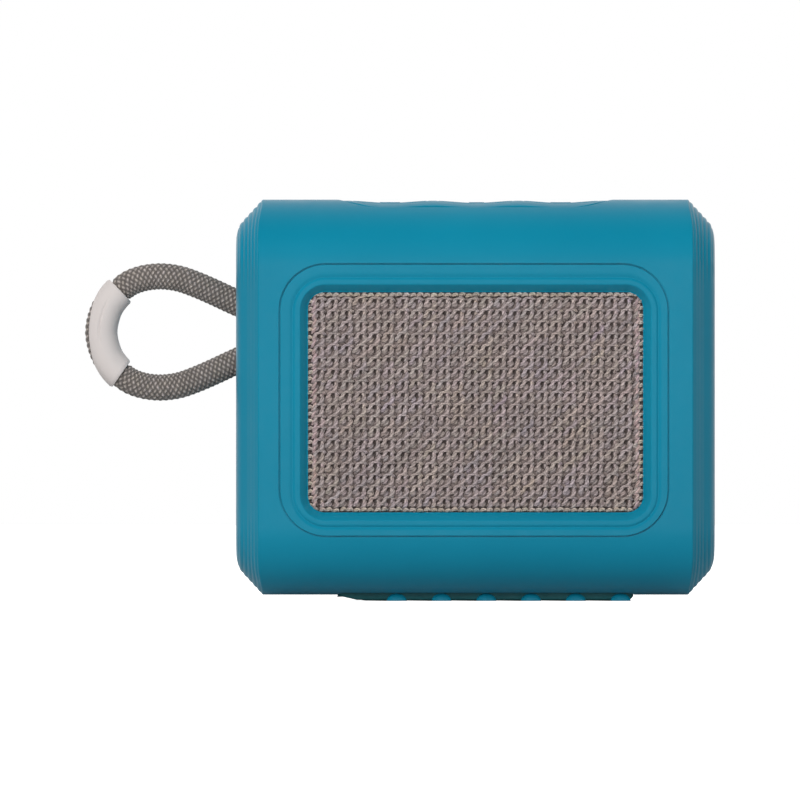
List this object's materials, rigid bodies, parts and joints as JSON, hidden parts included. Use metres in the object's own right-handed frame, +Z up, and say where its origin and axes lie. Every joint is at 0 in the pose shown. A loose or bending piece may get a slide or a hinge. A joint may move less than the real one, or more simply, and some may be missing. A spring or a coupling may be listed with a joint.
{
  "type": "portable bluetooth speaker",
  "caption": "Pocket speaker with a rounded case, stepped end bevels, a knit grille in a raised frame, dished top buttons, a rubber foot and a sleeved cord carry loop.",
  "frame": {"origin": "on the ground under the middle of the case, on the plane of the foot's ribs", "axes": "+X to the right end with the charging port, +Y to the back, +Z up; the grille faces -Y and the carry loop leaves at -X"},
  "size_m": [0.1221, 0.042, 0.078],
  "materials": {
    "case_plastic": "fine satin moulded plastic, teal blue",
    "frame_plastic": "satin moulded plastic, teal blue",
    "button_rubber": "soft satin rubber, teal blue",
    "foot_rubber": "soft matt rubber, deep teal",
    "cover_rubber": "soft matt rubber, teal",
    "grille_cloth": "coarse warm grey knit",
    "cord_cloth": "warm grey braid",
    "sleeve_plastic": "pale grey soft plastic",
    "black_plastic": "black glass-filled plastic",
    "black_rubber": "black butyl rubber",
    "black_foam": "black closed-cell foam",
    "plate_plastic": "satin plastic, deep teal",
    "screw_steel": "zinc plated steel",
    "pin_steel": "polished stainless steel",
    "plate_steel": "zinc plated mild steel",
    "dome_steel": "sprung stainless steel",
    "port_steel": "stamped stainless steel",
    "magnet_ferrite": "dark sintered ferrite",
    "coil_copper": "enamelled copper wire",
    "former_film": "amber polyimide film",
    "spider_cloth": "resin-set corrugated cloth",
    "cone_paper": "black coated pulp",
    "board_laminate": "green solder-masked laminate",
    "module_can": "tinned steel can",
    "chip_resin": "black moulded resin",
    "light_plastic": "clear frosted plastic",
    "flex_film": "amber flexible circuit",
    "wire_jacket": "red wire jacket",
    "cell_pouch": "silver laminate pouch",
    "terminal_board": "brown laminate with tinned tags"
  },
  "bodies": {
    "root": {"main_shell": "case_plastic", "rear_cover": "case_plastic", "shell_seal": "black_rubber", "shell_screws": "screw_steel", "grille_frame": "frame_plastic", "frame_gasket": "black_foam", "grille_fabric": "grille_cloth", "grille_mesh": "black_plastic", "button_panel": "button_rubber", "volume_down_dome": "dome_steel", "play_dome": "dome_steel", "volume_up_dome": "dome_steel", "key_board": "board_laminate", "power_dome": "dome_steel", "pairing_dome": "dome_steel", "side_board": "board_laminate", "status_light_pipe": "light_plastic", "status_led": "light_plastic", "microphone": "module_can", "usb_port": "port_steel", "driver_basket": "black_plastic", "driver_gasket": "black_foam", "driver_screws": "screw_steel", "driver_top_plate": "plate_steel", "driver_magnet": "magnet_ferrite", "driver_yoke": "plate_steel", "spider": "spider_cloth", "driver_surround": "black_rubber", "driver_terminals": "terminal_board", "speaker_wires": "wire_jacket", "radiator_frame": "black_plastic", "radiator_gasket": "black_foam", "radiator_screws": "screw_steel", "radiator_surround": "black_rubber", "main_board": "board_laminate", "radio_module": "module_can", "board_components": "chip_resin", "board_screws": "screw_steel", "flex_cables": "flex_film", "battery_cell": "cell_pouch", "battery_pads": "black_foam", "battery_wires": "wire_jacket", "foot_pad": "foot_rubber", "loop_pin": "pin_steel"},
    "volume_down": {"volume_down_button": "button_rubber"},
    "play": {"play_button": "button_rubber"},
    "volume_up": {"volume_up_button": "button_rubber"},
    "power": {"power_button": "button_rubber"},
    "pairing": {"pairing_button": "button_rubber"},
    "cover": {"port_cover": "cover_rubber"},
    "driver": {"driver_cone": "cone_paper", "dust_cap": "cone_paper", "coil_former": "former_film", "voice_coil": "coil_copper"},
    "radiator": {"radiator_plate": "plate_plastic"},
    "loop": {"loop_rope": "cord_cloth", "loop_rope_bight": "cord_cloth", "loop_sleeve": "sleeve_plastic"}
  },
  "joints": [
    {"name": "volume_down_press", "type": "slide", "parent": "root", "child": "volume_down", "axis": [0, 0, -1], "range_m": [0, 0.0004], "stiffness_N_per_m": 400, "deforming": ["volume_down_dome"]},
    {"name": "play_press", "type": "slide", "parent": "root", "child": "play", "axis": [0, 0, -1], "range_m": [0, 0.0004], "stiffness_N_per_m": 400, "deforming": ["play_dome"]},
    {"name": "volume_up_press", "type": "slide", "parent": "root", "child": "volume_up", "axis": [0, 0, -1], "range_m": [0, 0.0004], "stiffness_N_per_m": 400, "deforming": ["volume_up_dome"]},
    {"name": "power_press", "type": "slide", "parent": "root", "child": "power", "axis": [-1, 0, 0], "range_m": [0, 0.0004], "stiffness_N_per_m": 400, "deforming": ["power_dome"]},
    {"name": "pairing_press", "type": "slide", "parent": "root", "child": "pairing", "axis": [-1, 0, 0], "range_m": [0, 0.0004], "stiffness_N_per_m": 400, "deforming": ["pairing_dome"]},
    {"name": "cover_hinge", "type": "hinge", "parent": "root", "child": "cover", "pos_m": [0.0457, 0.007, 0.0193], "axis": [0, 1, 0], "range_deg": [0, 95]},
    {"name": "driver_stroke", "type": "slide", "parent": "root", "child": "driver", "axis": [0, -1, 0], "range_m": [-0.0012, 0.0012], "stiffness_N_per_m": 1500, "deforming": ["driver_surround", "spider"]},
    {"name": "radiator_stroke", "type": "slide", "parent": "root", "child": "radiator", "axis": [0, 1, 0], "range_m": [-0.0016, 0.0016], "stiffness_N_per_m": 500, "deforming": ["radiator_surround"]},
    {"name": "loop_swing", "type": "hinge", "parent": "root", "child": "loop", "pos_m": [-0.0439, 0, 0.0523], "axis": [0, 1, 0], "range_deg": [-20, 20]}
  ]
}
